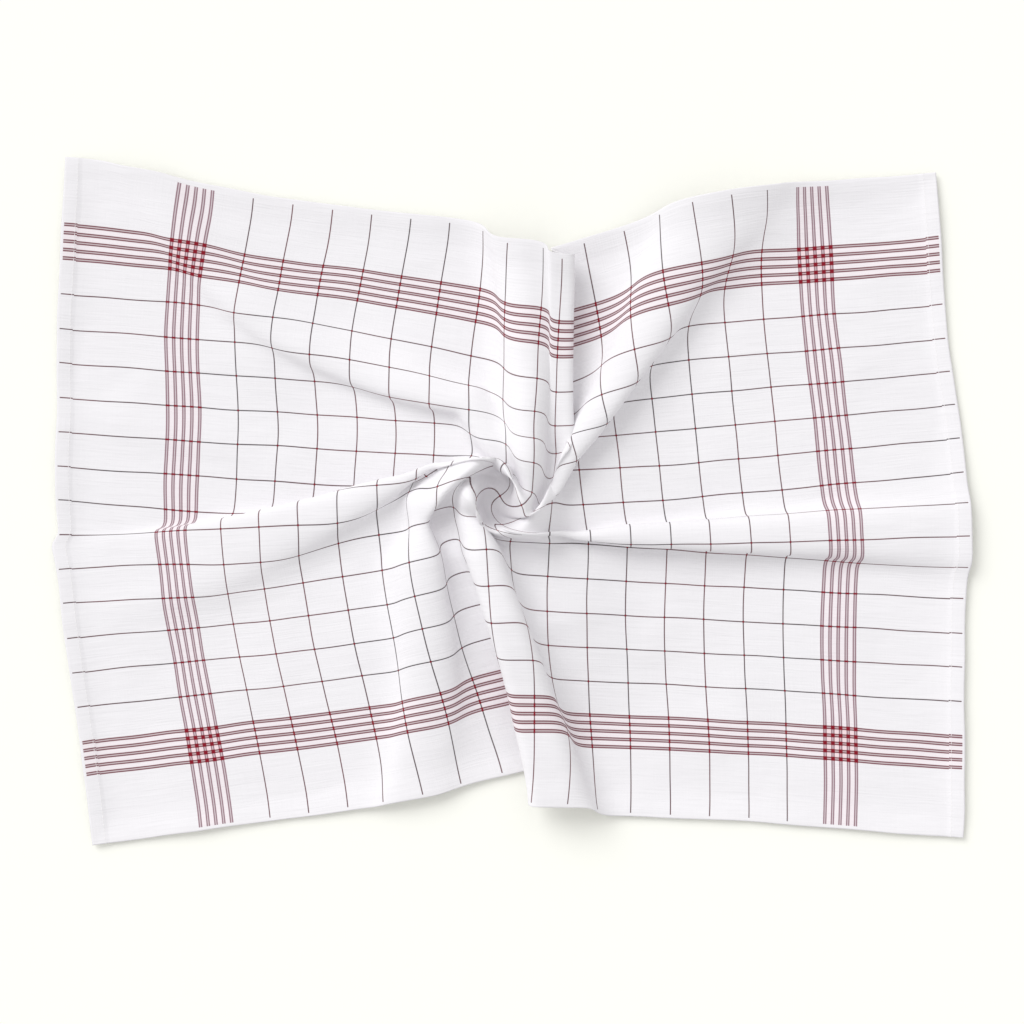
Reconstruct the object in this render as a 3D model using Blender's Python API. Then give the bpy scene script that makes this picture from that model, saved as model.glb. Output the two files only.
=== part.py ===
"""A check tea towel laid out flat, its middle pinched up and twisted clockwise into a rosette.

The cloth is one piece. It lies in eight panels, flat on the ground, parted by eight
folds that run from the rosette out to the edges. Each panel is the flat cloth, turned
and shifted a little. Each fold takes up the cloth by which its two panels have drawn
together, so its height and its width follow from that length. Lengths are in
millimetres here, and MM turns them to metres.
"""

import math

import bpy
import numpy as np

MM = 0.001

# The flat cloth, and its check: places on the cloth are counted in columns and rows
CLOTH_WIDTH = 716.0
CLOTH_DEPTH = 485.0
CHECK_WIDE = 28.4
CHECK_DEEP = 24.5
MIDDLE_COLUMN = 9.0
MIDDLE_ROW = 7.04
THICKNESS = 1.2

# Added to every place, so that the laid towel's box stands on the middle of the ground
SHIFT_X = 0.48
SHIFT_Y = 1.32

# Where each panel lies: its turn in degrees, anticlockwise from above, and the place
# where the middle of the cloth would be if all of it lay as this panel does.
# PANELS columns: name, turn, x, y
PANELS = (
    ("left", -2.3, 35, -22),
    ("top left", -6.6, 13, -44),
    ("top valley", -3.6, -2, -66),
    ("top", 12.8, 22, -65),
    ("right", 5.1, -31, -32),
    ("lower right", -2.5, -32, 20),
    ("bottom", 15.7, -30, 51),
    ("lower left", 8.6, 15, 42),
)

# A fold follows the panel of the same row, going clockwise. Its crest crosses the cloth
# at three places, each a column and a row. The flank before the crest, the flat top
# after it and the lean have one value at the rim and one near the rosette. The lean is
# the share of the take-up that lies after the crest: 0.5 stands up, and 0.8 laps over.
# The last column is how much of its height a fold keeps: the left one dies out at the rim.
# FOLDS columns: name, rim, halfway, inner, flank before, flat top, lean, height kept
FOLDS = (
    ("upper left", (-1.9, -2.86), (3.0, 1.8), (6.9, 3.4), (24, 25), (0, 0), (0.35, 0.35), (1, 1)),
    ("top left ridge", (7.6, -2.86), (8.4, 0.75), (8.5, 3.8), (36, 28), (0, 0), (0.45, 0.42), (1, 1)),
    ("top lap", (10.2, -2.86), (10.35, 0.9), (10.4, 3.6), (37, 30), (0, 6), (0.88, 0.5), (1, 1)),
    ("upper right", (15.7, -2.86), (13.4, 0.8), (11.1, 4.5), (85, 35), (0, 0), (0.47, 0.74), (1, 1)),
    ("right", (21.6, 7.7), (14.0, 7.7), (11.1, 7.6), (50, 29), (13, 1), (0.6, 0.6), (1, 1)),
    ("bottom lap", (11.6, 16.9), (9.8, 12.1), (9.3, 9.6), (24, 34), (43, 0), (0.87, 0.55), (1, 1)),
    ("lower left", (4.8, 16.9), (6.1, 12.0), (6.4, 8.5), (58, 39), (0, 0), (0.62, 0.4), (1, 1)),
    ("left", (-3.61, 9.5), (2.6, 8.1), (6.6, 6.3), (70, 36), (20, 0), (0.7, 0.64), (0.15, 1)),
)

# A fold of small take-up is flatter than a bent strip by this length. Flanks narrow inside
# one share of the way out, sizes near the rosette hold inside another, and no flank
# reaches further than this from its crest.
GIVE = 4.0
NARROWING = 0.3
INNER = 0.25
REACH = 130.0

# A crest is drawn from a little way off the middle to a little past the edge, in steps
CREST_START = 0.1
CREST_INNER_STEPS = 12
CREST_PAST = 1.06
CREST_STEPS = 90

# The panels aren't quite rigid: how far the cloth has eased from them, to the right and
# up, at places spread over it
EASE_COLUMNS = (-3.61, 3.0, 9.0, 15.0, 21.6)
# EASE rows: cloth row, then (right, up) at each of these columns
EASE = (
    (-2.86, (-6, 9), (0, -4), (-4, -5), (0, -2), (-4, -7)),
    (3.5, (-8, 7), (-9, 5), (-6, -7), (-2, -5), (-2, -5)),
    (10.5, (5, 8), (-8, -4), (4, 1), (3, -1), (1, -2)),
    (16.9, (3, 5), (0, 2), (19, 2), (12, 2), (7, -2)),
)

# The rosette: it takes the cloth inside this share of the way out to the edges, and draws
# it in to a round core, twisted, raised, and with a pocket in it
ROSETTE_SHARE = 0.18
ROSETTE_X = -9.3
ROSETTE_Y = 4.3
ROSETTE_TWIST = 150.0
ROSETTE_HEIGHT = 20.0
ROSETTE_POCKET = 12.0
ROSETTE_RADIUS = 54.0

# Shares of the rosette: it is round inside the first, its crown is full inside the second,
# and its pocket is as wide as the third
CORE = 0.35
CROWN = 0.45
POCKET = 0.3

# How the twist gathers towards the middle, and how the folds coming in lose their height
TWIST_POWER = 1.6
FADE_POWER = 0.8

# Spokes of the mesh: where they stand along each flank, lap and panel, and how much of
# the way to the next fold a flank's spokes may take. A fold leaning more than LAP_LEAN laps.
FLANK_STEPS = (0.22, 0.41, 0.6, 0.8, 1.0)
LAP_STEPS = (0.16, 0.3, 0.4, 0.5, 0.6, 0.7, 0.8, 0.9, 1.0)
LAP_LEAN = 0.7
PANEL_STEPS = (0.25, 0.5, 0.75)
ROOM = 0.45

# Rings of the mesh: shares of the rosette, then shares of the way out to the edges
ROSETTE_RINGS = (0.1, 0.22, 0.34, 0.46, 0.58, 0.7, 0.82, 0.91)
CLOTH_RINGS = (0.18, 0.21, 0.25, 0.3, 0.35, 0.4, 0.45, 0.5, 0.57, 0.65, 0.74, 0.83, 0.92, 1.0)

HALF_WIDE = CLOTH_WIDTH / 2
HALF_DEEP = CLOTH_DEPTH / 2
RIM_LENGTH = 2 * (CLOTH_WIDTH + CLOTH_DEPTH)
CORNERS = (0.0, CLOTH_WIDTH, CLOTH_WIDTH + CLOTH_DEPTH, 2 * CLOTH_WIDTH + CLOTH_DEPTH, RIM_LENGTH)
COUNT = len(FOLDS)


def on_cloth(column, row):
    """The place of a column and a row on the flat cloth, x right and y up from its middle."""
    return (column - MIDDLE_COLUMN) * CHECK_WIDE, (MIDDLE_ROW - row) * CHECK_DEEP


def ring_and_length(cloth):
    """The share of the way out to the edges, and the length clockwise along the rim from the top left."""
    across = cloth[..., 0] / HALF_WIDE
    up = cloth[..., 1] / HALF_DEEP
    share = np.maximum(np.abs(across), np.abs(up))
    across = across / share
    up = up / share
    length = np.where(
        np.abs(across) <= np.abs(up),
        np.where(up > 0, (across + 1) * HALF_WIDE, CORNERS[2] + (1 - across) * HALF_WIDE),
        np.where(across > 0, CORNERS[1] + (1 - up) * HALF_DEEP, CORNERS[3] + (1 + up) * HALF_DEEP),
    )
    return share, length


def cloth_place(share, length):
    """The place on the flat cloth, x right and y up from its middle."""
    length = np.mod(length, RIM_LENGTH)
    across = np.interp(length, CORNERS, (-1, 1, 1, -1, -1))
    up = np.interp(length, CORNERS, (1, 1, -1, -1, 1))
    return np.stack([across * HALF_WIDE * share, up * HALF_DEEP * share], -1)


def crest_of(fold):
    """The crest of a fold on the flat cloth: straight from the middle, then a curve through its places."""
    places = np.array([on_cloth(column, row) for column, row in fold[3:0:-1]])
    steps = np.concatenate([[0], np.cumsum(np.linalg.norm(np.diff(places, axis=0), axis=1))])
    curve = np.polyfit(steps, places, 2)
    along = np.linspace(0, steps[2] * CREST_PAST, CREST_STEPS)[:, None]
    outer = (curve[0] * along + curve[1]) * along + curve[2]
    share, length = ring_and_length(outer[0])
    inner = cloth_place(np.linspace(CREST_START, share, CREST_INNER_STEPS)[:-1], length)
    return np.concatenate([inner, outer])


CRESTS = [crest_of(fold) for fold in FOLDS]


def fold_length(k, share):
    """Where the crest of a fold crosses a ring, as a length along the rim."""
    shares, lengths = ring_and_length(CRESTS[k])
    return np.interp(share, shares, np.unwrap(lengths, period=RIM_LENGTH))


def crest_lengths(share):
    """The crests of all the folds on a ring, clockwise, so each is more than the one before."""
    lengths = [fold_length(0, share)]
    for k in range(1, COUNT):
        lengths.append(lengths[-1] + np.mod(fold_length(k, share) - lengths[-1], RIM_LENGTH))
    return lengths


def lay(panel, cloth):
    """Where a panel puts these places of the cloth."""
    _, turn, x, y = PANELS[panel % COUNT]
    cosine = math.cos(math.radians(turn))
    sine = math.sin(math.radians(turn))
    return np.stack(
        [
            cosine * cloth[..., 0] - sine * cloth[..., 1] + x,
            sine * cloth[..., 0] + cosine * cloth[..., 1] + y,
        ],
        -1,
    )


def smooth_weights(knots, at):
    """How much each knot counts at these values: smooth steps from one to the next."""
    weights = [np.interp(at, knots, row) for row in np.eye(len(knots))]
    return [weight * weight * (3 - 2 * weight) for weight in weights]


def eased(cloth):
    """How far the cloth has eased from its panels at these places."""
    columns = [on_cloth(column, 0)[0] for column in EASE_COLUMNS]
    rows = [on_cloth(0, row[0])[1] for row in reversed(EASE)]
    across = smooth_weights(columns, cloth[..., 0])
    up = smooth_weights(rows, cloth[..., 1])
    move = np.zeros(cloth.shape)
    for row, row_weight in zip(reversed(EASE), up):
        for step, weight in zip(row[1:], across):
            move += (row_weight * weight)[..., None] * np.array(step)
    return move


# A flank is bent like a spring strip: its slope grows over a first part of its length,
# holds, and goes back over the last part. These give the steepest slope for a take-up.
SLOPES = np.linspace(0.001, math.pi, 400)
TAKE_UP_BY_LENGTH = 1 - np.sin(SLOPES) / SLOPES
TAKE_UP_BY_RISE = (SLOPES - np.sin(SLOPES)) / (1 - np.cos(SLOPES))


def flank_run(part, slope, bend):
    """(forward, upward) run of a flank of length 1, up to a part of it."""

    def run(s):
        bent = np.minimum(s, bend)
        held = np.maximum(s - bend, 0)
        forward = bend / slope * np.sin(slope * bent / bend) + held * np.cos(slope)
        upward = bend / slope * (1 - np.cos(slope * bent / bend)) + held * np.sin(slope)
        return forward, upward

    half = run(np.full_like(part, 0.5))
    first = run(np.minimum(part, 0.5))
    last = run(np.minimum(1 - part, 0.5))
    forward = np.where(part <= 0.5, first[0], 2 * half[0] - last[0])
    upward = np.where(part <= 0.5, first[1], 2 * half[1] - last[1])
    return forward, upward, 2 * half[0], 2 * half[1]


def faded(pair, share):
    """From a value at the rim and one near the rosette, the value on a ring."""
    rim, near = pair
    return near + (rim - near) * np.clip((share - INNER) / (1 - INNER), 0, 1)


def fold_sizes(fold, share, take_up):
    """The flanks, flat top, slopes, far bend, height and lean of a fold, at places along it."""
    before, top, lean, kept = (faded(pair, share) for pair in fold[4:8])
    before = before * np.minimum(1, share / NARROWING)
    taken = take_up * take_up / (take_up + GIVE)
    slope = np.interp(taken * (1 - lean) / before, TAKE_UP_BY_LENGTH, SLOPES)
    height = before * (1 - np.cos(slope)) / slope
    ratio = taken * lean / height
    far_slope = np.interp(ratio, TAKE_UP_BY_RISE, SLOPES)
    laps = ratio > math.pi / 2
    after = np.where(
        laps,
        (taken * lean + math.pi * height / 2) / 2,
        height * far_slope / (1 - np.cos(far_slope)),
    )
    far_bend = np.where(laps, math.pi * height / 4 / after, 0.5)
    return before, top, after, slope, far_slope, far_bend, height * kept, lean


def beside_crest(k, cloth):
    """The crest's step beside each place, the part of the way to the next, and the distance beyond the crest."""
    crest = CRESTS[k]
    along = np.gradient(crest, axis=0)
    spacing = np.linalg.norm(along, axis=1)
    along /= spacing[:, None]
    nearest = ((cloth[:, None] - crest) ** 2).sum(-1).argmin(1)
    beyond = ((cloth - crest[nearest]) * along[nearest]).sum(-1)
    at = np.clip(nearest + beyond / spacing[nearest], 0, len(crest) - 1)
    low = np.minimum(at.astype(int), len(crest) - 2)
    part = (at - low)[:, None]
    direction = along[low] * (1 - part) + along[low + 1] * part
    direction /= np.linalg.norm(direction, axis=-1, keepdims=True)
    aside = cloth - crest[low] * (1 - part) - crest[low + 1] * part
    return low, part, aside[:, 0] * direction[:, 1] - aside[:, 1] * direction[:, 0]


def laid(share, length):
    """Where the middle of the cloth's thickness lies outside the rosette."""
    cloth = cloth_place(share, length)
    crossings = crest_lengths(share)
    seam = (crossings[-1] - RIM_LENGTH + crossings[0]) / 2
    length = seam + np.mod(length - seam, RIM_LENGTH)
    place = lay(0, cloth)
    height = np.zeros(share.shape)
    for k, fold in enumerate(FOLDS):
        crest = CRESTS[k]
        take_up = np.linalg.norm(lay(k + 1, crest) - lay(k, crest), axis=-1)
        sizes = np.stack(fold_sizes(fold, ring_and_length(crest)[0], take_up), -1)
        low, part, distance = beside_crest(k, cloth)
        sizes = sizes[low] * (1 - part) + sizes[low + 1] * part
        before, top, after, slope, far_slope, far_bend, rise, lean = sizes.T
        around = (length - crossings[k]) * share
        distance = np.where(np.abs(around) < REACH, distance, np.sign(around) * CLOTH_WIDTH)
        near = np.clip((distance + before) / before, 0, 1)
        far = np.clip((distance - top) / after, 0, 1)
        forward, upward, all_forward, all_upward = flank_run(near, slope, np.full_like(near, 0.5))
        taken = (1 - lean) * (near - forward) / (1 - all_forward)
        up = upward / all_upward
        forward, upward, all_forward, all_upward = flank_run(far, far_slope, far_bend)
        taken += lean * (far - forward) / (1 - all_forward)
        up = np.where(distance < 0, up, 1 - upward / all_upward)
        place = place + taken[..., None] * (lay(k + 1, cloth) - lay(k, cloth))
        height = height + rise * up
    return np.concatenate([place + eased(cloth), height[..., None]], -1)


def fold_spans(share):
    """For each fold on a ring: its crest, and how far its flanks reach either side, as rim lengths."""
    ring = np.array([share])
    crests = crest_lengths(ring)
    spans = []
    for k, fold in enumerate(FOLDS):
        crest = cloth_place(ring, crests[k])
        along = cloth_place(ring + 0.001, fold_length(k, ring + 0.001)) - crest
        beside = cloth_place(ring, crests[k] + 0.5) - cloth_place(ring, crests[k] - 0.5)
        crossing = np.abs(beside[..., 0] * along[..., 1] - beside[..., 1] * along[..., 0])
        crossing /= np.linalg.norm(beside, axis=-1) * np.linalg.norm(along, axis=-1)
        take_up = np.linalg.norm(lay(k + 1, crest) - lay(k, crest), axis=-1)
        before, top, after = fold_sizes(fold, ring, take_up)[:3]
        behind = np.mod(crests[k] - crests[k - 1], RIM_LENGTH)
        ahead = np.mod(crests[(k + 1) % COUNT] - crests[k], RIM_LENGTH)
        before = np.minimum(before / crossing / share, behind * ROOM)
        after = np.minimum((top + after) / crossing / share, ahead * ROOM)
        spans.append((crests[k].item(), before.item(), after.item()))
    return spans


def panel_span(spans, k):
    """The start and the end of the panel after fold k."""
    crest, _, after = spans[k]
    following, before, _ = spans[(k + 1) % COUNT]
    return crest + after, crest + (following - crest) % RIM_LENGTH - before


def spokes(share):
    """Rim lengths of the spokes on a ring: close on folds, wide apart on panels, one at each corner."""
    spans = fold_spans(share)
    lengths = []
    for k, fold in enumerate(FOLDS):
        crest, before, after = spans[k]
        steps = LAP_STEPS if fold[6][0] > LAP_LEAN else FLANK_STEPS
        lengths += [crest - before * step for step in reversed(FLANK_STEPS)]
        lengths.append(crest)
        lengths += [crest + after * step for step in steps]
        start, end = panel_span(spans, k)
        lengths += [start + (end - start) * step for step in PANEL_STEPS]
    lengths = np.array(lengths)
    for corner in CORNERS[:-1]:
        aside = np.mod(lengths - corner + RIM_LENGTH / 2, RIM_LENGTH) - RIM_LENGTH / 2
        nearest = np.abs(aside).argmin()
        lengths[nearest] -= aside[nearest]
    return lengths


def rosette(share, outward, edge):
    """A ring of the rosette: between the ring round it and a round core, turned and raised."""
    middle = np.array([ROSETTE_X, ROSETTE_Y])
    part = max(0, (share - CORE) / (1 - CORE))
    weight = part * part * (3 - 2 * part)
    arm = (edge[:, :2] - middle) * weight + outward * ROSETTE_RADIUS * share * (1 - weight)
    turn = -math.radians(ROSETTE_TWIST) * math.sin((1 - share) * math.pi / 2) ** TWIST_POWER
    x = math.cos(turn) * arm[:, 0] - math.sin(turn) * arm[:, 1] + ROSETTE_X
    y = math.sin(turn) * arm[:, 0] + math.cos(turn) * arm[:, 1] + ROSETTE_Y
    crown = ROSETTE_HEIGHT * math.sin(math.pi / 2 * min(1, (1 - share) / (1 - CROWN))) ** 2
    pocket = (ROSETTE_HEIGHT - ROSETTE_POCKET) * math.exp(-((share / POCKET) ** 2))
    z = edge[:, 2] * share ** FADE_POWER + crown - pocket
    return np.stack([x, y, z], -1)


def sheet_points():
    """The middle of the cloth's thickness: the middle point, then each ring of spokes going out."""
    lengths = spokes(ROSETTE_SHARE)
    shares = np.full(len(lengths), ROSETTE_SHARE)
    edge = laid(shares, lengths)
    outward = cloth_place(shares, lengths)
    outward /= np.linalg.norm(outward, axis=1, keepdims=True)
    rings = [rosette(share, outward, edge) for share in ROSETTE_RINGS]
    for share in CLOTH_RINGS:
        lengths = spokes(share)
        rings.append(laid(np.full(len(lengths), share), lengths))
    centre = np.array([[ROSETTE_X, ROSETTE_Y, rings[0][:, 2].mean()]])
    return centre, rings


def sheet_faces(ring_count, spoke_count):
    """Faces of the sheet, seen from above, by point number: 0 is the middle."""
    faces = []
    for j in range(spoke_count):
        k = (j + 1) % spoke_count
        faces.append((0, 1 + k, 1 + j))
        for i in range(ring_count - 1):
            low = 1 + i * spoke_count
            high = low + spoke_count
            faces.append((low + j, low + k, high + k))
            faces.append((low + j, high + k, high + j))
    return faces


def point_normals(points, faces):
    corners = points[np.array(faces)]
    across = np.cross(corners[:, 1] - corners[:, 0], corners[:, 2] - corners[:, 0])
    normals = np.zeros_like(points)
    for i in range(3):
        np.add.at(normals, np.array(faces)[:, i], across)
    return normals / np.linalg.norm(normals, axis=1, keepdims=True)


def cloth_material():
    material = bpy.data.materials.new("Half linen, white")
    material.use_nodes = True
    shader = material.node_tree.nodes["Principled BSDF"]
    shader.inputs["Base Color"].default_value = (0.9, 0.89, 0.9, 1)
    shader.inputs["Roughness"].default_value = 0.85
    shader.inputs["Metallic"].default_value = 0.0
    return material


def tea_towel():
    """The closed sheet: upper and under sides half a thickness from its middle, joined round the rim."""
    centre, rings = sheet_points()
    spoke_count = len(rings[0])
    points = np.concatenate([centre] + rings) + (SHIFT_X, SHIFT_Y, 0)
    faces = sheet_faces(len(rings), spoke_count)
    normals = point_normals(points, faces)
    points[:, 2] += THICKNESS / 2
    upper = points + normals * THICKNESS / 2
    under = points - normals * THICKNESS / 2
    under[:, 2] = np.maximum(under[:, 2], 0)
    count = len(points)
    closed = list(faces) + [(c + count, b + count, a + count) for a, b, c in faces]
    rim = 1 + (len(rings) - 1) * spoke_count
    for j in range(spoke_count):
        k = rim + (j + 1) % spoke_count
        closed.append((rim + j, k, k + count))
        closed.append((rim + j, k + count, rim + j + count))
    mesh = bpy.data.meshes.new("tea_towel")
    mesh.from_pydata((np.concatenate([upper, under]) * MM).tolist(), [], closed)
    mesh.materials.append(cloth_material())
    mesh.shade_smooth()
    towel = bpy.data.objects.new("tea_towel", mesh)
    bpy.context.scene.collection.objects.link(towel)
    return towel


for leftover in list(bpy.data.objects):
    bpy.data.objects.remove(leftover, do_unlink=True)
tea_towel()
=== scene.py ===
import math

import bpy
import numpy as np
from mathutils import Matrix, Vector, noise


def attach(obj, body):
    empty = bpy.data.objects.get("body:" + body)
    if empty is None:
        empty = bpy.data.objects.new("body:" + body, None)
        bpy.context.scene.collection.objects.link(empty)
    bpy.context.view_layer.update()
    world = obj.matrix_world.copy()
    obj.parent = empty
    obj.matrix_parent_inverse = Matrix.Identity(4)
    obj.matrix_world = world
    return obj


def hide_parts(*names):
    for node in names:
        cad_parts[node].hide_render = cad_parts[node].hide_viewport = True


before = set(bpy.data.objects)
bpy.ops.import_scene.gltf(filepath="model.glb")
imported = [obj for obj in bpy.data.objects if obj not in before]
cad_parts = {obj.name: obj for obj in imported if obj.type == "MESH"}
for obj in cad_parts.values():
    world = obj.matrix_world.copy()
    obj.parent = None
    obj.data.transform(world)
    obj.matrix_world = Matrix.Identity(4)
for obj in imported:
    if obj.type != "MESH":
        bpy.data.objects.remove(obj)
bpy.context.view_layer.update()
mm = 0.001


def fromHex(code):
    # sRGB hex to linear
    channels = [int(code[i : i + 2], 16) / 255 for i in (1, 3, 5)]
    return [c / 12.92 if c <= 0.04045 else ((c + 0.055) / 1.055) ** 2.4 for c in channels] + [1.0]


def addNode(tree, kind, links=None, **settings):
    # each link is a socket, a node (its first output) or a plain value
    node = tree.nodes.new(kind)
    for name, value in settings.items():
        setattr(node, name, value)
    for socket, value in (links or {}).items():
        if isinstance(value, bpy.types.Node):
            value = value.outputs[0]
        if isinstance(value, bpy.types.NodeSocket):
            tree.links.new(value, node.inputs[socket])
        else:
            node.inputs[socket].default_value = value
    return node


def addObject(name, data):
    thing = bpy.data.objects.new(name, data)
    bpy.context.scene.collection.objects.link(thing)
    return thing


# the cloth as it was woven and hemmed, in mm from its top left corner
weave = {
    "width": 716.0,
    "depth": 485.0,
    "checkWide": 28.4,  # from one thin line to the next
    "checkDeep": 24.5,
    "firstColumn": 3.61,  # checks from the left end to the first band's last stripe
    "firstRow": 2.86,  # and from the top edge
    "middleColumn": 9.0,  # the check crossing that is pinched up
    "middleRow": 7.04,
    "hem": 11.0,
    "hemStep": 0.5,  # how far the stripes in a hem miss the others
    "hemFold": 1.5,  # the dyed weft is turned out of sight over this last bit of each end
    "hemEdge": 0.6,  # over which one layer becomes three
    "topSelvedge": 3.5,  # without dyed warp threads
    "bottomSelvedge": 2.0,
    "thickness": 0.5,
    "hemThickness": 0.95,  # three layers, pressed
    "grid": 2.8,  # between the threads that the mesh follows
    "endThreads": (0, 0.6, 3, 6, 9, 10.6, 11.4, 13),  # and their places at an end
    "selvedgeThreads": (0, 0.6, 2),
}

# how it lies: flat panels, and the folds between them
# panels: name, turn in degrees, then where the middle of the cloth would be, in mm
panels = [
    ("left", -3.5, 28, -27),
    ("top left", -5.7, 20, -42),
    ("top valley", -2.6, 5, -60),
    ("top", 13.0, 24, -65),
    ("right", 5.6, -30, -38),
    ("lower right", -2.7, -30, 21),
    ("bottom", 14.7, -26, 52),
    ("lower left", 7.6, 13, 40),
]
# folds: each follows the panel in its row. The crest passes three places, as column and row.
# The rest have a value at the rim and one near the middle: flank before the crest and flat
# top after it in mm, lean (0.5 stands up, 0.8 laps over), and how much of its height is kept.
folds = [
    ("upper left", (-1.9, -2.86), (2.9, 1.9), (6.9, 2.9), (26, 26), (1, 0), (0.42, 0.32), (0.7, 0.9)),
    ("top left ridge", (8.3, -2.86), (8.8, 0.65), (8.9, 3.8), (60, 34), (0, 0), (0.5, 0.6), (0.6, 1.3)),
    ("top lap", (10.1, -2.86), (10.3, 0.9), (10.45, 3.1), (46, 20), (3, 2), (0.9, 0.8), (1, 1.9)),
    ("upper right", (15.8, -2.86), (13.4, 0.8), (10.9, 3.8), (87, 32), (0, 0), (0.5, 0.73), (0.48, 0.75)),
    ("right", (21.6, 7.7), (14.0, 7.66), (11.1, 7.65), (44, 29), (14, 3), (0.55, 0.56), (0.5, 0.8)),
    ("bottom lap", (11.0, 16.9), (9.47, 12.1), (8.7, 9.2), (48, 43), (22, 0), (0.88, 0.48), (0.8, 1)),
    ("lower left", (4.5, 16.9), (6.15, 12.0), (6.45, 8.4), (57, 37), (0, 0), (0.64, 0.37), (0.5, 0.9)),
    ("left", (-3.61, 9.5), (2.6, 8.1), (6.75, 6.4), (90, 30), (26, 0), (0.85, 0.62), (0.12, 0.7)),
]
# shares here are of the way out from the middle of the cloth to its edge
lie = {
    "give": 4.0,  # small take-ups go flatter than a bent strip by this, in mm
    "narrowing": 0.3,  # flanks narrow inside this share
    "inner": 0.25,  # share at which a fold has its values near the middle
    "reach": 130.0,  # no flank reaches further than this from its crest
    "crestStart": 0.1,  # share at which a crest starts
    "innerSteps": 11,  # steps from there to its own three places
    "crestSteps": 90,
    "pastEdge": 1.06,  # and how far it goes on past the last of them
    "rimLift": 3.2,  # the hems and selvedges curl up a little, in mm
    "rimReach": 13.0,
    "softTurns": 3,  # how often the whole cloth is softened
    "shift": (0.48, 1.32),  # stands the whole on the middle of the ground
}
# easing: how far the cloth has crept from its panels, right and up in mm. A line starts with
# its row and then has a pair for each column.
easeColumns = [-3.61, 3.0, 9.0, 15.0, 21.6]
easeRows = [
    (-2.86, (-5, 8), (-3, -5), (-6, -7), (0, 1), (-1, -4)),
    (1.5, (-4, 5), (-9, 3), (-8, -11), (-2, -1), (-4, -4)),
    (5.0, (0, 4), (-1, 4), (-4, 5), (-2, -1), (-1, -2)),
    (10.0, (10, 5), (-4, -4), (2, 1), (0, -1), (-1, -2)),
    (16.9, (10, 2), (6, 2), (14, 0), (11, 2), (5, -2)),
]

halfWide = weave["width"] / 2
halfDeep = weave["depth"] / 2
rimLength = 2 * (weave["width"] + weave["depth"])
rimCorners = np.array([0, weave["width"], rimLength / 2, rimLength / 2 + weave["width"], rimLength])


def smooth(part):
    return part * part * (3 - 2 * part)


def onCloth(column, row):
    # x right and y up from the middle of the cloth
    x = (np.asarray(column, float) - weave["middleColumn"]) * weave["checkWide"]
    y = (weave["middleRow"] - np.asarray(row, float)) * weave["checkDeep"]
    return np.stack(np.broadcast_arrays(x, y), -1)


def ringAndLength(cloth):
    # share of the way out, and length clockwise along the rim from the top left corner
    across = cloth[..., 0] / halfWide
    up = cloth[..., 1] / halfDeep
    share = np.maximum(np.maximum(np.abs(across), np.abs(up)), 1e-6)
    across = across / share
    up = up / share
    length = np.where(
        np.abs(across) <= np.abs(up),
        np.where(up > 0, (across + 1) * halfWide, rimCorners[2] + (1 - across) * halfWide),
        np.where(across > 0, rimCorners[1] + (1 - up) * halfDeep, rimCorners[3] + (1 + up) * halfDeep),
    )
    return share, length


def ringPlace(share, length):
    length = np.mod(length, rimLength)
    across = np.interp(length, rimCorners, (-1, 1, 1, -1, -1))
    up = np.interp(length, rimCorners, (1, 1, -1, -1, 1))
    return np.stack([across * halfWide * share, up * halfDeep * share], -1)


def lay(panel, cloth):
    # the cloth as if all of it lay in this panel
    _, turn, x, y = panels[panel % len(panels)]
    cosine, sine = math.cos(math.radians(turn)), math.sin(math.radians(turn))
    return np.stack([
        cosine * cloth[..., 0] - sine * cloth[..., 1] + x,
        sine * cloth[..., 0] + cosine * cloth[..., 1] + y,
    ], -1)


def crestOf(fold):
    # the crest from close to the middle out past the edge, one place for each step
    places = onCloth(*np.array(fold[3:0:-1]).T)
    lengths = np.concatenate([[0], np.cumsum(np.linalg.norm(np.diff(places, axis=0), axis=1))])
    curve = np.polyfit(lengths, places, 2)
    along = np.linspace(0, lengths[2] * lie["pastEdge"], lie["crestSteps"])[:, None]
    outer = (curve[0] * along + curve[1]) * along + curve[2]
    share, length = ringAndLength(outer[:1])
    shares = np.linspace(lie["crestStart"], share[0], lie["innerSteps"] + 1)[:-1]
    return np.concatenate([ringPlace(shares, np.full(shares.shape, length[0])), outer])


def crossingsOf(crests, share):
    # where each crest crosses the ring at this share, as lengths that grow from fold to fold
    crossings = []
    for crest in crests:
        shares, lengths = ringAndLength(crest)
        lengths = np.unwrap(lengths, period=rimLength)
        crossings.append(np.interp(share, shares, lengths))
    for k in range(1, len(crests)):
        crossings[k] = crossings[k - 1] + np.mod(crossings[k] - crossings[k - 1], rimLength)
    return crossings


def nearestOn(crest, cloth):
    # the step of the crest that each place is nearest to, the part of the way from there to
    # the next step, and the distance to the right of the crest
    along = np.gradient(crest, axis=0)
    spacing = np.linalg.norm(along, axis=1)
    along /= spacing[:, None]
    nearest = np.zeros(cloth.shape[:-1], int)
    best = np.full(cloth.shape[:-1], np.inf)
    for step, point in enumerate(crest):
        gap = ((cloth - point) ** 2).sum(-1)
        closer = gap < best
        nearest[closer] = step
        best[closer] = gap[closer]
    beyond = ((cloth - crest[nearest]) * along[nearest]).sum(-1)
    at = np.clip(nearest + beyond / spacing[nearest], 0, len(crest) - 1)
    low = np.minimum(at.astype(int), len(crest) - 2)
    part = (at - low)[..., None]
    direction = along[low] * (1 - part) + along[low + 1] * part
    direction /= np.linalg.norm(direction, axis=-1, keepdims=True)
    aside = cloth - (crest[low] * (1 - part) + crest[low + 1] * part)
    return low, part, aside[..., 0] * direction[..., 1] - aside[..., 1] * direction[..., 0]


def between(pair, share):
    # a fold's value at the rim and near the middle, blended for each share
    rim, near = pair
    return near + (rim - near) * np.clip((share - lie["inner"]) / (1 - lie["inner"]), 0, 1)


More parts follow.
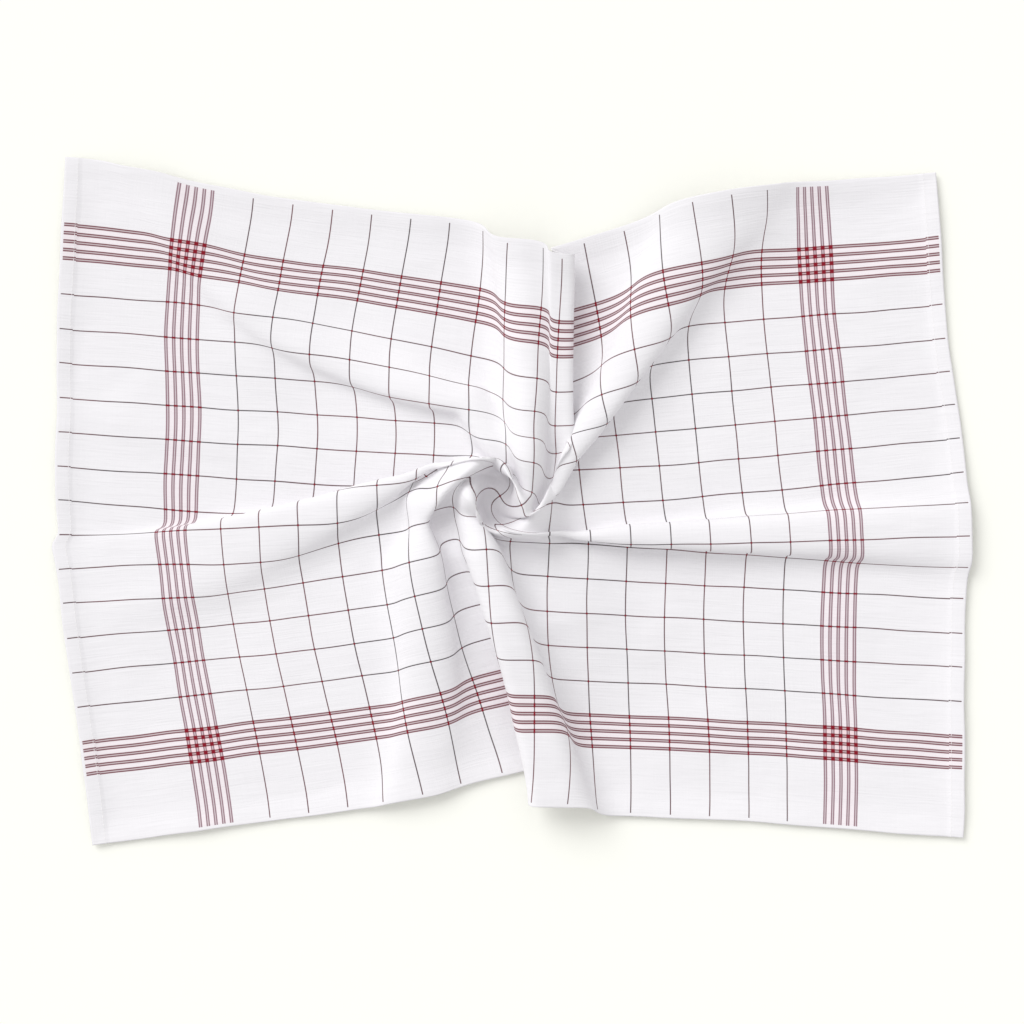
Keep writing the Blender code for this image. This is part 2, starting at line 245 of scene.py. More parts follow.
# a strip bent to each slope: the length it takes up, by its own length and by its height
slopes = np.linspace(0.001, math.pi, 400)
takenByLength = 1 - np.sin(slopes) / slopes
takenByRise = (slopes - np.sin(slopes)) / (1 - np.cos(slopes))


def flankRun(part, slope, bend):
    # forward and upward run of a bent strip of length 1, up to a part of it
    def run(length):
        bent = np.minimum(length, bend)
        held = np.maximum(length - bend, 0)
        angle = slope * bent / bend
        forward = bend / slope * np.sin(angle) + held * np.cos(slope)
        return forward, bend / slope * (1 - np.cos(angle)) + held * np.sin(slope)

    half = run(np.full_like(part, 0.5))
    first = run(np.minimum(part, 0.5))
    last = run(np.minimum(1 - part, 0.5))
    forward = np.where(part <= 0.5, first[0], 2 * half[0] - last[0])
    upward = np.where(part <= 0.5, first[1], 2 * half[1] - last[1])
    return forward, upward, 2 * half[0], 2 * half[1]


def foldSizes(fold, share, takeUp):
    # both flanks of a fold at each step of its crest, so that they use up the spare cloth
    before, top, lean, kept = (between(pair, share) for pair in fold[4:8])
    before = before * np.minimum(1, share / lie["narrowing"])
    taken = takeUp * takeUp / (takeUp + lie["give"])
    slope = np.interp(taken * (1 - lean) / before, takenByLength, slopes)
    height = before * (1 - np.cos(slope)) / slope
    ratio = taken * lean / height
    farSlope = np.interp(ratio, takenByRise, slopes)
    laps = ratio > math.pi / 2
    after = np.where(
        laps,
        (taken * lean + math.pi * height / 2) / 2,
        height * farSlope / (1 - np.cos(farSlope)),
    )
    farBend = np.where(laps, math.pi * height / 4 / after, 0.5)
    return np.stack([before, top, after, slope, farSlope, farBend, height * kept, lean], -1)


def eased(cloth):
    # the creep at each place, blended smoothly from the table
    def weights(knots, at):
        return [smooth(np.interp(at, knots, row)) for row in np.eye(len(knots))]

    across = weights(onCloth(easeColumns, 0)[:, 0], cloth[..., 0])
    rows = list(reversed(easeRows))
    up = weights(onCloth(0, [row[0] for row in rows])[:, 1], cloth[..., 1])
    move = np.zeros(cloth.shape)
    for row, rowWeight in zip(rows, up):
        for step, weight in zip(row[1:], across):
            move += (rowWeight * weight)[..., None] * np.array(step, float)
    return move


def laid(cloth):
    # where the cloth outside the rosette lies: each fold carries it over to the next panel
    share, length = ringAndLength(cloth)
    crests = [crestOf(fold) for fold in folds]
    crossings = crossingsOf(crests, share)
    seam = (crossings[-1] - rimLength + crossings[0]) / 2
    length = seam + np.mod(length - seam, rimLength)
    place = lay(0, cloth)
    height = np.zeros(share.shape)
    for k, (fold, crest, crossing) in enumerate(zip(folds, crests, crossings)):
        takeUp = np.linalg.norm(lay(k + 1, crest) - lay(k, crest), axis=1)
        sizes = foldSizes(fold, ringAndLength(crest)[0], takeUp)
        low, part, distance = nearestOn(crest, cloth)
        size = sizes[low] * (1 - part) + sizes[low + 1] * part
        before, top, after, slope, farSlope, farBend, rise, lean = np.moveaxis(size, -1, 0)
        alongRing = (length - crossing) * share
        outOfReach = np.sign(alongRing) * weave["width"]
        distance = np.where(np.abs(alongRing) < lie["reach"], distance, outOfReach)
        near = np.clip((distance + before) / before, 0, 1)
        far = np.clip((distance - top) / after, 0, 1)
        forward, upward, allForward, allUpward = flankRun(near, slope, np.full_like(near, 0.5))
        taken = (1 - lean) * (near - forward) / (1 - allForward)
        up = upward / allUpward
        forward, upward, allForward, allUpward = flankRun(far, farSlope, farBend)
        taken += lean * (far - forward) / (1 - allForward)
        up = np.where(distance < 0, up, 1 - upward / allUpward)
        place = place + taken[..., None] * (lay(k + 1, cloth) - lay(k, cloth))
        height = height + rise * up
    return np.concatenate([place + eased(cloth), height[..., None]], -1)


# the twisted middle, in mm and degrees. Shares are of the way out to the ring round it.
rosette = {
    "share": 0.2,  # where that ring lies on the way out to the cloth's edge
    "place": (-9.3, 4.3),
    "twist": 175.0,
    "lip": 0.52,  # share that stands highest
    "lipRadius": 27.0,
    "lipHeight": 24.5,
    "lipBulge": 0.8,  # 1 draws the cloth inside the lip in evenly, less leaves it wider
    "drawn": 0.8,  # the lip is at most this part of the way out to the ring
    "floor": 0.3,  # share that lies at the bottom of the pocket
    "floorHeight": -6.0,  # before the tent below lifts it
    "fade": 0.5,  # how fast the ring's own height dies out towards the middle
    "ringSteps": 1440,
    "tentHeight": 11.0,  # the cloth round the rosette is held up a little by it
    "tentReach": 95.0,
    "softShare": 0.36,  # the cloth is softened more out to here on the way to its edge
    "softFade": 0.1,
    "softTurns": 9,
}


def inRosette(cloth):
    # the ring round the middle drawn in to a round lip, turned clockwise and raised, with
    # a pocket inside it
    share, length = ringAndLength(cloth)
    share = share / rosette["share"]
    around = np.linspace(0, rimLength, rosette["ringSteps"] + 1)
    ring = ringPlace(np.full(around.shape, rosette["share"]), around)
    edge = laid(ring)
    arm = edge[:, :2] - rosette["place"]
    turned = np.angle((arm[:, 0] + 1j * arm[:, 1]) / (ring[:, 0] + 1j * ring[:, 1]))
    turned = np.interp(length, around, turned)
    reach = np.interp(length, around, np.linalg.norm(arm, axis=1))
    edgeHeight = np.interp(length, around, edge[:, 2])
    held = np.sin(share * math.pi / 2)  # 1 at the ring, which keeps its place
    angle = np.arctan2(cloth[:, 1], cloth[:, 0])
    angle = angle + turned * held - math.radians(rosette["twist"]) * (1 - held)
    lip = rosette["lip"]
    lipRadius = np.minimum(rosette["lipRadius"], reach * rosette["drawn"])
    inside = lipRadius * (share / lip) ** rosette["lipBulge"]
    outside = lipRadius + (reach - lipRadius) * np.maximum(share - lip, 0) / (1 - lip)
    radius = np.where(share < lip, inside, outside)
    x = radius * np.cos(angle) + rosette["place"][0]
    y = radius * np.sin(angle) + rosette["place"][1]
    rise = smooth(np.clip((1 - share) / (1 - lip), 0, 1))
    drop = smooth(np.clip((lip - share) / (lip - rosette["floor"]), 0, 1))
    height = edgeHeight * share ** rosette["fade"] + rosette["lipHeight"] * rise
    height -= (rosette["lipHeight"] - rosette["floorHeight"]) * drop
    return np.stack([x, y, height], -1)


# soft creases pressed into the panels, as unevenly as they lie: from and to in columns and
# rows, width and height in mm. A minus is a trough.
creases = [
    ((-3.2, 4.6), (2.2, 5.4), 14, 1.6),
    ((-3.4, 10.4), (1.6, 9.6), 12, 1.2),
    ((0.6, 1.4), (2.6, 4.2), 12, 1.8),
    ((4.6, 0.4), (6.6, 2.6), 16, 1.5),
    ((3.0, 11.4), (4.2, 14.6), 15, -1.6),
    ((13.6, 3.0), (12.0, 6.4), 18, 1.8),
    ((15.6, 0.8), (14.6, 5.6), 15, -1.4),
    ((18.2, 4.2), (19.6, 8.0), 14, 1.3),
    ((10.4, 9.4), (11.4, 13.4), 60, 9.0),
    ((13.2, 8.6), (13.0, 13.2), 20, -1.2),
    ((17.6, 8.8), (19.4, 12.6), 16, 1.2),
    ((14.8, 11.4), (16.8, 15.8), 18, 1.3),
    ((-2.8, 13.4), (0.8, 15.6), 16, 1.3),
]
wrinkles = {
    "creaseEnd": 0.2,  # a crease fades from its middle to this part of its length past its ends
    "waveHeight": 1.8,  # long soft waves left by washing, in mm
    "waveSize": 62.0,
    "waveStretch": 1.3,  # longer across the towel than down it
    "waveLayer": 3.0,  # depth in the noise, so that the three patterns differ
    "fineHeight": 0.35,
    "fineSize": 17.0,
    "fineStretch": 1.2,
    "fineLayer": 40.0,
    "creep": 0.8,  # how far the threads wander sideways
    "creepSize": 38.0,
    "creepLayer": 90.0,
    "creepSeed": 5,
    "calmShare": 0.1,  # none of it inside this share of the cloth, where the twist pulls it flat
    "calmFade": 0.25,
}


def wrinkled(cloth, share):
    # the small relief, and how far the threads wander in the plane, as one move in mm
    move = np.zeros((*cloth.shape[:-1], 3))
    middle = 0.5 + wrinkles["creaseEnd"]
    for start, end, width, height in creases:
        a, b = onCloth(*start), onCloth(*end)
        t = ((cloth - a) @ (b - a)) / ((b - a) @ (b - a))
        away = np.linalg.norm(cloth - (a + np.clip(t, 0, 1)[..., None] * (b - a)), axis=-1)
        along = np.clip((middle - np.abs(t - 0.5)) / middle, 0, 1)
        move[..., 2] += height * along * np.exp(-((away / width) ** 2))
    noise.seed_set(wrinkles["creepSeed"])  # without it noise_vector differs from run to run
    for index in np.ndindex(share.shape):
        x, y = cloth[index]
        wave = Vector((x, y * wrinkles["waveStretch"], wrinkles["waveLayer"])) / wrinkles["waveSize"]
        fine = Vector((x, y * wrinkles["fineStretch"], wrinkles["fineLayer"])) / wrinkles["fineSize"]
        drift = noise.noise_vector(Vector((x, y, wrinkles["creepLayer"])) / wrinkles["creepSize"])
        move[index][:2] = wrinkles["creep"] * drift[0], wrinkles["creep"] * drift[1]
        move[index][2] += wrinkles["waveHeight"] * noise.noise(wave)
        move[index][2] += wrinkles["fineHeight"] * noise.noise(fine)
    return move * np.clip((share - wrinkles["calmShare"]) / wrinkles["calmFade"], 0, 1)[..., None]


def softened(place, share):
    # points drawn halfway to their neighbours: the whole cloth, then only near the rosette
    nearMiddle = np.clip((rosette["softShare"] - share) / rosette["softFade"], 0, 1)[..., None]
    for turn in range(rosette["softTurns"]):
        soft = place.copy()
        soft[1:-1, 1:-1] = (place[:-2, 1:-1] + place[2:, 1:-1] + place[1:-1, :-2] + place[1:-1, 2:]) / 4
        place = place + (soft - place) * (0.5 if turn < lie["softTurns"] else 0.5 * nearMiddle)
    return place


def threadPlaces(size, margins):
    # places of the threads that the mesh follows, closer together at the margins
    count = round((size - 2 * margins[-1]) / weave["grid"])
    middle = np.linspace(margins[-1], size - margins[-1], count + 1)
    return np.concatenate([margins[:-1], middle, [size - m for m in margins[-2::-1]]])


def settle(u, v):
    # the whole cloth as it lies, one place for each crossing of its threads
    cloth = np.stack(np.meshgrid(u - halfWide, halfDeep - v), -1)
    share, _ = ringAndLength(cloth)
    place = laid(cloth)
    inside = share < rosette["share"]
    place[inside] = inRosette(cloth[inside])
    fromRosette = np.linalg.norm(place[..., :2] - rosette["place"], axis=-1)
    place[..., 2] += rosette["tentHeight"] * np.exp(-((fromRosette / rosette["tentReach"]) ** 2))
    fromRim = np.minimum(halfWide - np.abs(cloth[..., 0]), halfDeep - np.abs(cloth[..., 1]))
    place[..., 2] += lie["rimLift"] * np.exp(-((fromRim / lie["rimReach"]) ** 2))
    place = softened(place + wrinkled(cloth, share), share)
    place[..., :2] += lie["shift"]
    place[..., 2] = np.maximum(place[..., 2], 0)
    return place


def thickened(place, u):
    # its upper and under side: one layer of cloth, three in the hems
    fromEnd = np.minimum(u, weave["width"] - u)
    inHem = np.clip((weave["hem"] - fromEnd) / weave["hemEdge"] + 0.5, 0, 1)
    half = (weave["thickness"] + (weave["hemThickness"] - weave["thickness"]) * inHem[:, None]) / 2
    normal = np.cross(np.gradient(place, axis=0), np.gradient(place, axis=1))
    normal /= np.linalg.norm(normal, axis=-1, keepdims=True)
    middle = place + (0, 0, 1) * half
    upper = middle + normal * half
    under = middle - normal * half
    under[..., 2] = np.maximum(under[..., 2], 0)
    return upper, under


def sheetMesh(upper, under, flat):
    # both sides and the rim between them, one closed body
    rows, columns = upper.shape[:2]
    count = rows * columns
    index = np.arange(count).reshape(rows, columns)
    corners = [index[:-1, :-1], index[1:, :-1], index[1:, 1:], index[:-1, 1:]]
    top = np.stack(corners, -1).reshape(-1, 4)
    rim = np.concatenate([index[0], index[1:, -1], index[-1, -2::-1], index[-2:0:-1, 0]])
    nextRim = np.roll(rim, -1)
    side = np.stack([rim, nextRim, nextRim + count, rim + count], -1)
    faces = np.concatenate([top, top[:, ::-1] + count, side])
    points = np.concatenate([upper.reshape(-1, 3), under.reshape(-1, 3)]) * mm
    mesh = bpy.data.meshes.new("glassCloth")
    mesh.from_pydata(points.tolist(), [], faces.tolist())
    uvMap = mesh.uv_layers.new(name="UVMap")
    uv = flat.reshape(-1, 2)[faces.reshape(-1) % count]
    uvMap.data.foreach_set("uv", uv.astype(np.float32).reshape(-1))
    mesh.shade_smooth()
    return mesh


# dyed threads: colours, widths in mm, and the bands' places in checks
dye = {
    "white": "#eeecef",
    "runPink": "#efe7eb",  # dye that has run a little between the stripes of a band
    "crossPink": "#f1dade",  # and more where two bands cross
    "warpStripe": "#8d6c77",  # threads that run top to bottom, half hidden by the white weft
    "weftStripe": "#70363f",
    "bothStripes": "#841526",  # dyed threads both ways, so the full colour shows
    "thinLine": "#35232b",
    "thinLineRed": "#622530",  # where the line has kept more of its red
    "stripeCount": 5,
    "warpBands": ((-0.81, 0.2025), (18.0, 0.2025)),  # first stripe and pitch, from firstColumn
    "weftBands": ((-0.94, 0.235), (14.0, 0.23)),  # and from firstRow
    "stripeWidth": 2.5,
    "crossingWidth": 2.9,
    "paleMiddle": 0.3,  # how much colour shows between a stripe's two outer threads
    "paleFrom": 0.05,  # mm from its middle where the full colour starts to come back
    "paleTo": 0.28,  # and where it is back, as share of the stripe's width
    "warpLines": 17,
    "weftLines": 13,
    "thinWidth": 0.76,  # a line of two threads, a little wide so that it shows
    "thinCrossing": 1.3,
    "softness": 0.3,
}
# bare cloth: sizes in mm, length along the thread first. The slubs are drawn twice as wide as
# the real thread of half a millimetre, so that they show.
linen = {
    "slub": (33.3, 1.11),
    "warpShare": 0.4,  # how much the warp's slubs show beside the weft's
    "slubRange": (0.35, 1.05),
    "tone": (0.965, 1.02),  # darkest and lightest
    "fade": 111.0,  # size of the places where the thin lines are redder
    "fadeRange": (0.4, 0.6),
    "pucker": (35.7, 7.7),
    "puckerShare": 1.6,
    "bumpStrength": 0.35,
    "bumpDepth": 0.9,
    "roughness": 0.9,
    "specular": 0.2,
}


def stripeMask(tree, place, first, pitch, count, width, middle):
    # 1 on each of count stripes, the first at first mm and then pitch mm apart, and as low as
    # middle along their own middles
    offset = addNode(tree, "ShaderNodeMath", {0: place, 1: first}, operation="SUBTRACT")
    step = addNode(tree, "ShaderNodeMath", {0: offset, 1: pitch}, operation="DIVIDE")
    whole = addNode(tree, "ShaderNodeMath", {0: step}, operation="ROUND")
    stripe = addNode(tree, "ShaderNodeClamp", {0: whole, 1: 0.0, 2: count - 1.0})
    aside = addNode(tree, "ShaderNodeMath", {0: step, 1: stripe}, operation="SUBTRACT")
    share = addNode(tree, "ShaderNodeMath", {0: aside}, operation="ABSOLUTE")
    away = addNode(tree, "ShaderNodeMath", {0: share, 1: pitch}, operation="MULTIPLY")
    edge, soft = width / 2, dye["softness"]
    inside = {0: away, 1: edge - soft, 2: edge + soft, 3: 1.0, 4: 0.0}
    inside = addNode(tree, "ShaderNodeMapRange", inside, interpolation_type="SMOOTHSTEP")
    colour = {0: away, 1: dye["paleFrom"], 2: width * dye["paleTo"], 3: middle, 4: 1.0}
    colour = addNode(tree, "ShaderNodeMapRange", colour)
    return addNode(tree, "ShaderNodeMath", {0: inside, 1: colour}, operation="MULTIPLY")


def stripeRows(thread, start, check):
    # for each mask of one direction, its stripes: first place, pitch, count, width, middle
    rows = {"Stripe": [], "Solid": [], "Run": []}
    count = dye["stripeCount"]
    for bandStart, bandPitch in dye[thread + "Bands"]:
        first, pitch = (start + bandStart) * check, bandPitch * check
        run = (count - 1) * pitch
        rows["Stripe"].append((first, pitch, count, dye["stripeWidth"], dye["paleMiddle"]))
        rows["Solid"].append((first, pitch, count, dye["crossingWidth"], 1.0))
        rows["Run"].append((first + run / 2, pitch, 1, run + dye["crossingWidth"], 1.0))
    thin = ((start + 1) * check, check, dye[thread + "Lines"])
    rows["Thin"] = [(*thin, dye["thinWidth"], 1.0)]
    rows["ThinSolid"] = [(*thin, dye["thinCrossing"], 1.0)]
    return rows


def stripeMasks(tree, right, down):
    # where dyed threads show. Solid masks are for crossings, and Run takes in a whole band.
    offset = addNode(tree, "ShaderNodeMath", {0: right, 1: halfWide}, operation="SUBTRACT")
    fromMiddle = addNode(tree, "ShaderNodeMath", {0: offset}, operation="ABSOLUTE")
    # the hems were turned and pressed, so their stripes don't quite meet the others
    hem = {0: fromMiddle, 1: halfWide - weave["hem"]}
    inHem = addNode(tree, "ShaderNodeMath", hem, operation="GREATER_THAN")
    step = {0: inHem, 1: weave["hemStep"], 2: down}
    down = addNode(tree, "ShaderNodeMath", step, operation="MULTIPLY_ADD")
    # the dyed warp stops short of the selvedges, and the dyed weft turns back in a hem's fold
    lastThread = weave["depth"] - weave["bottomSelvedge"]
    below = addNode(tree, "ShaderNodeMath", {0: down, 1: weave["topSelvedge"]}, operation="GREATER_THAN")
    above = addNode(tree, "ShaderNodeMath", {0: down, 1: lastThread}, operation="LESS_THAN")
    turn = {0: fromMiddle, 1: halfWide - weave["hemFold"]}
    limits = {
        "warp": addNode(tree, "ShaderNodeMath", {0: below, 1: above}, operation="MULTIPLY"),
        "weft": addNode(tree, "ShaderNodeMath", turn, operation="LESS_THAN"),
    }
    masks = {}
    for thread, place, start, check in (
        ("warp", right, weave["firstColumn"], weave["checkWide"]),
        ("weft", down, weave["firstRow"], weave["checkDeep"]),
    ):
        for kind, rows in stripeRows(thread, start, check).items():
            found = [stripeMask(tree, place, *row) for row in rows]
            every = addNode(tree, "ShaderNodeMath", {0: found[0], 1: found[-1]}, operation="MAXIMUM")
            shown = {0: every, 1: limits[thread]}
            masks[thread + kind] = addNode(tree, "ShaderNodeMath", shown, operation="MULTIPLY")
        solid = {0: masks[thread + "Solid"], 1: masks[thread + "ThinSolid"]}
        masks[thread + "Any"] = addNode(tree, "ShaderNodeMath", solid, operation="MAXIMUM")
    for kind in ("Any", "Run"):
        crossed = {0: masks["warp" + kind], 1: masks["weft" + kind]}
        masks["both" + kind] = addNode(tree, "ShaderNodeMath", crossed, operation="MULTIPLY")
    return masks


def slubs(tree, inMm):
    # thicker places in the linen weft, long and thin, and fainter ones in the cotton warp
    lengthwise, crosswise = (1 / size for size in linen["slub"])
    warp = addNode(tree, "ShaderNodeMapping", {"Vector": inMm, "Scale": (crosswise, lengthwise, 1)})
    warp = addNode(tree, "ShaderNodeTexNoise", {"Vector": warp, "Scale": 1.0, "Detail": 2.0})
    weft = addNode(tree, "ShaderNodeMapping", {"Vector": inMm, "Scale": (lengthwise, crosswise, 1)})
    weft = addNode(tree, "ShaderNodeTexNoise", {"Vector": weft, "Scale": 1.0, "Detail": 3.0})
    both = {0: warp, 1: linen["warpShare"], 2: weft}
    return addNode(tree, "ShaderNodeMath", both, operation="MULTIPLY_ADD")


def clothMaterial():
    # half linen, plain woven and washed: matt, slightly streaky white with dyed stripes
    material = bpy.data.materials.new("Half linen, plain weave, washed")
    material.use_nodes = True
    tree = material.node_tree
    shader = tree.nodes["Principled BSDF"]
    shader.inputs["Roughness"].default_value = linen["roughness"]
    shader.inputs["Specular IOR Level"].default_value = linen["specular"]
    uv = addNode(tree, "ShaderNodeUVMap", uv_map="UVMap")
    inMm = addNode(tree, "ShaderNodeMapping", {
        "Vector": uv, "Scale": (weave["width"], -weave["depth"], 1), "Location": (0, weave["depth"], 0),
    })
    split = addNode(tree, "ShaderNodeSeparateXYZ", {0: inMm})
    masks = stripeMasks(tree, split.outputs[0], split.outputs[1])
    streaks = slubs(tree, inMm)
    low, high = linen["slubRange"]
    dark, light = linen["tone"]
    tone = addNode(tree, "ShaderNodeMapRange", {0: streaks, 1: low, 2: high, 3: dark, 4: light})
    white = {0: 1.0, 6: fromHex(dye["white"]), 7: tone}
    colour = addNode(tree, "ShaderNodeMix", white, data_type="RGBA", blend_type="MULTIPLY").outputs[2]
    # the thin lines' dye has washed out unevenly
    worn = addNode(tree, "ShaderNodeTexNoise", {"Vector": inMm, "Scale": 1 / linen["fade"]})
    low, high = linen["fadeRange"]
    worn = addNode(tree, "ShaderNodeMapRange", {0: worn, 1: low, 2: high, 3: 0.0, 4: 1.0})
    thin = {0: worn, 6: fromHex(dye["thinLine"]), 7: fromHex(dye["thinLineRed"])}
    thin = addNode(tree, "ShaderNodeMix", thin, data_type="RGBA").outputs[2]
    for mask, stain in (
        ("warpRun", fromHex(dye["runPink"])),
        ("weftRun", fromHex(dye["runPink"])),
        ("bothRun", fromHex(dye["crossPink"])),
        ("warpStripe", fromHex(dye["warpStripe"])),
        ("weftStripe", fromHex(dye["weftStripe"])),
        ("warpThin", thin),
        ("weftThin", thin),
        ("bothAny", fromHex(dye["bothStripes"])),
    ):
        links = {0: masks[mask], 6: colour, 7: stain}
        colour = addNode(tree, "ShaderNodeMix", links, data_type="RGBA").outputs[2]
    tree.links.new(colour, shader.inputs["Base Color"])
    # puckers left by washing, long in the direction of the weft
    scale = (1 / linen["pucker"][0], 1 / linen["pucker"][1], 1)
    puckers = addNode(tree, "ShaderNodeMapping", {"Vector": inMm, "Scale": scale})
    puckers = addNode(tree, "ShaderNodeTexNoise", {"Vector": puckers, "Scale": 1.0, "Detail": 2.0})
    height = {0: puckers, 1: linen["puckerShare"], 2: streaks}
    height = addNode(tree, "ShaderNodeMath", height, operation="MULTIPLY_ADD")
    bump = {"Height": height, "Strength": linen["bumpStrength"], "Distance": linen["bumpDepth"] * mm}
    tree.links.new(addNode(tree, "ShaderNodeBump", bump).outputs[0], shader.inputs["Normal"])
    return material


threadsRight = threadPlaces(weave["width"], weave["endThreads"])
threadsDown = threadPlaces(weave["depth"], weave["selvedgeThreads"])
upperSide, underSide = thickened(settle(threadsRight, threadsDown), threadsRight)
flatPlaces = np.stack(np.meshgrid(threadsRight / weave["width"], 1 - threadsDown / weave["depth"]), -1)
sheet = addObject("glassCloth", sheetMesh(upperSide, underSide, flatPlaces))
sheet.data.materials.append(clothMaterial())
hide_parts("tea_towel")
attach(sheet, "root")
print("sheet laid:", len(sheet.data.polygons), "faces")

# the stitches that hold the two hems, in white sewing thread: sizes in mm
stitch = {
    "fromEdge": 9.8,
    "pitch": 3.0,
    "length": 2.3,
    "thickness": 0.42,
    "above": 0.05,  # of the cloth
    "jitter": 0.05,  # radians
    "seed": 4,
    "sides": 6,
    "rings": 5,
    "thread": "#f4f2f2",
    "roughness": 0.7,
}


def stitchTree():
    # short rounded stitches along a line, end to end
    tree = bpy.data.node_groups.new("Hem stitches", "GeometryNodeTree")
    tree.interface.new_socket("Line", in_out="INPUT", socket_type="NodeSocketGeometry")
    for name in ("Pitch", "Length", "Thickness", "Jitter"):
        tree.interface.new_socket(name, in_out="INPUT", socket_type="NodeSocketFloat")
    tree.interface.new_socket("Seed", in_out="INPUT", socket_type="NodeSocketInt")
    tree.interface.new_socket("Thread", in_out="INPUT", socket_type="NodeSocketMaterial")
    tree.interface.new_socket("Stitches", in_out="OUTPUT", socket_type="NodeSocketGeometry")
    given = addNode(tree, "NodeGroupInput").outputs
    curve = addNode(tree, "GeometryNodeMeshToCurve", {"Mesh": given["Line"]})
    spacing = {"Curve": curve, "Length": given["Pitch"]}
    spaced = addNode(tree, "GeometryNodeResampleCurve", spacing, mode="LENGTH")
    tangent = addNode(tree, "GeometryNodeInputTangent")
    along = addNode(tree, "FunctionNodeAlignRotationToVector", {"Vector": tangent}, axis="Z")
    least = addNode(tree, "ShaderNodeMath", {0: given["Jitter"], 1: -1.0}, operation="MULTIPLY")
    spread = {"Min": least, "Max": given["Jitter"], "Seed": given["Seed"]}
    wobble = addNode(tree, "FunctionNodeRandomValue", spread, data_type="FLOAT_VECTOR")
    turn = {0: along, 1: wobble}
    turned = addNode(tree, "FunctionNodeRotateRotation", turn, rotation_space="LOCAL")
    shape = {"Segments": stitch["sides"], "Rings": stitch["rings"], "Radius": 0.5}
    ball = addNode(tree, "GeometryNodeMeshUVSphere", shape)
    sizes = {0: given["Thickness"], 1: given["Thickness"], 2: given["Length"]}
    size = addNode(tree, "ShaderNodeCombineXYZ", sizes)
    placed = addNode(tree, "GeometryNodeInstanceOnPoints", {
        "Points": spaced, "Instance": ball, "Rotation": turned, "Scale": size,
    })
    real = addNode(tree, "GeometryNodeRealizeInstances", {0: placed})
    dyed = addNode(tree, "GeometryNodeSetMaterial", {"Geometry": real, "Material": given["Thread"]})
    addNode(tree, "NodeGroupOutput", {"Stitches": dyed})
    return tree


def threadMaterial():
    # mercerised cotton: a little smoother than the cloth
    thread = bpy.data.materials.new("Cotton sewing thread, white")
    thread.use_nodes = True
    shader = thread.node_tree.nodes["Principled BSDF"]
    shader.inputs["Base Color"].default_value = fromHex(stitch["thread"])
    shader.inputs["Roughness"].default_value = stitch["roughness"]
    return thread


def makeStitches():
    # a line down each hem, between the cloth's own places, then the stitches on it
    points, lines = [], []
    for fromLeft in (stitch["fromEdge"], weave["width"] - stitch["fromEdge"]):
        after = int(np.searchsorted(threadsRight, fromLeft))
        part = (fromLeft - threadsRight[after - 1]) / (threadsRight[after] - threadsRight[after - 1])
        line = upperSide[:, after - 1] * (1 - part) + upperSide[:, after] * part
        start = len(points)
        points += ((line[1:-1] + (0, 0, stitch["above"])) * mm).tolist()
        lines += [(i, i + 1) for i in range(start, len(points) - 1)]
    mesh = bpy.data.meshes.new("hemLines")
    mesh.from_pydata(points, lines, [])
    guide = addObject("hemLines", mesh)
    modifier = guide.modifiers.new("Hem stitches", "NODES")
    modifier.node_group = stitchTree()
    values = {
        "Pitch": stitch["pitch"] * mm,
        "Length": stitch["length"] * mm,
        "Thickness": stitch["thickness"] * mm,
        "Jitter": stitch["jitter"],
        "Seed": stitch["seed"],
        "Thread": threadMaterial(),
    }
    for item in modifier.node_group.interface.items_tree:
        if item.name in values:
            modifier[item.identifier] = values[item.name]
    seen = guide.evaluated_get(bpy.context.evaluated_depsgraph_get())
    sewn = addObject("hemStitches", bpy.data.meshes.new_from_object(seen))
    guide.modifiers.remove(modifier)
    bpy.data.objects.remove(guide, do_unlink=True)
    return sewn


stitches = makeStitches()
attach(stitches, "root")
print("hems sewn:", len(stitches.data.polygons), "faces")

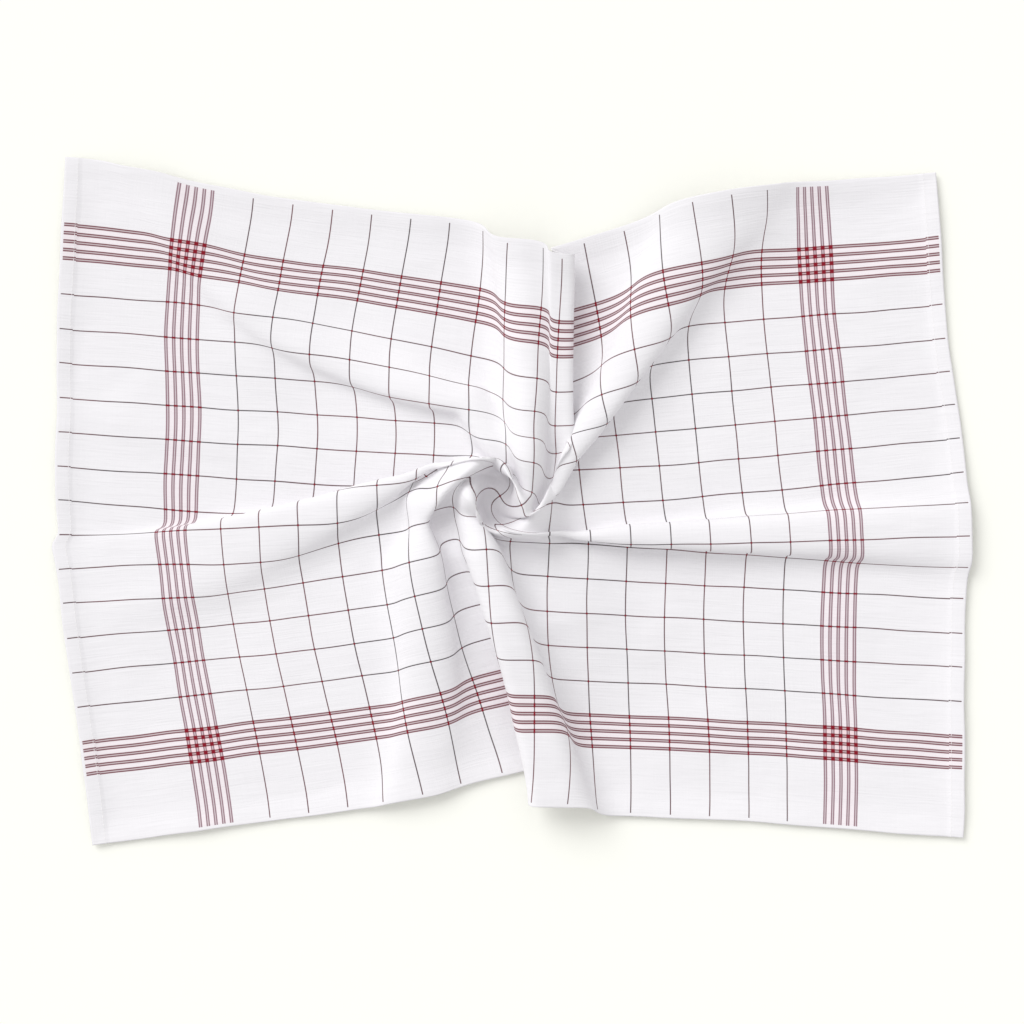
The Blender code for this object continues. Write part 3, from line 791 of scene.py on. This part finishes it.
# ground, light and camera, in metres
studio = {
    "ground": "#fbfbf4",
    "groundHalf": 3.0,
    "groundRoughness": 0.95,
    "groundSpecular": 0.1,
    "skyStrength": 0.76,
    "sunStrength": 1.6,
    "sunAngle": 38.0,  # degrees across, as soft as a window
    "sunFrom": (-1.25, 1.35, 1.4),
    "cameraPlace": (-0.0003, -0.0066),
    "frameWidth": 0.732,
    "lens": 85.0,  # mm, as is the sensor
    "sensor": 36.0,
}


def makeGround():
    # matt paper: no gloss, so it stays even and pale
    paper = bpy.data.materials.new("Matt white background paper")
    paper.use_nodes = True
    shader = paper.node_tree.nodes["Principled BSDF"]
    shader.inputs["Base Color"].default_value = fromHex(studio["ground"])
    shader.inputs["Roughness"].default_value = studio["groundRoughness"]
    shader.inputs["Specular IOR Level"].default_value = studio["groundSpecular"]
    mesh = bpy.data.meshes.new("ground")
    half = studio["groundHalf"]
    corners = [(-half, -half, 0), (half, -half, 0), (half, half, 0), (-half, half, 0)]
    mesh.from_pydata(corners, [], [(0, 1, 2, 3)])
    mesh.materials.append(paper)
    addObject("ground", mesh)


def makeLight():
    # an even white room, and one soft light from the upper left
    world = bpy.data.worlds.new("studio")
    world.use_nodes = True
    world.node_tree.nodes["Background"].inputs["Color"].default_value = (1, 1, 1, 1)
    world.node_tree.nodes["Background"].inputs["Strength"].default_value = studio["skyStrength"]
    bpy.context.scene.world = world
    lamp = bpy.data.lights.new("window", "SUN")
    lamp.energy = studio["sunStrength"]
    lamp.angle = math.radians(studio["sunAngle"])
    key = addObject("window", lamp)
    key.location = studio["sunFrom"]
    key.rotation_euler = (-key.location).to_track_quat("-Z", "Y").to_euler()


def makeCamera():
    # straight down, from as high as the frame's width on the ground needs
    lens = bpy.data.cameras.new("overhead")
    lens.lens = studio["lens"]
    lens.sensor_width = studio["sensor"]
    camera = addObject("overhead", lens)
    camera.location = (*studio["cameraPlace"], studio["frameWidth"] * studio["lens"] / studio["sensor"])
    bpy.context.scene.camera = camera
    bpy.context.scene.view_settings.view_transform = "Standard"


makeGround()
makeLight()
makeCamera()
print("studio ready")
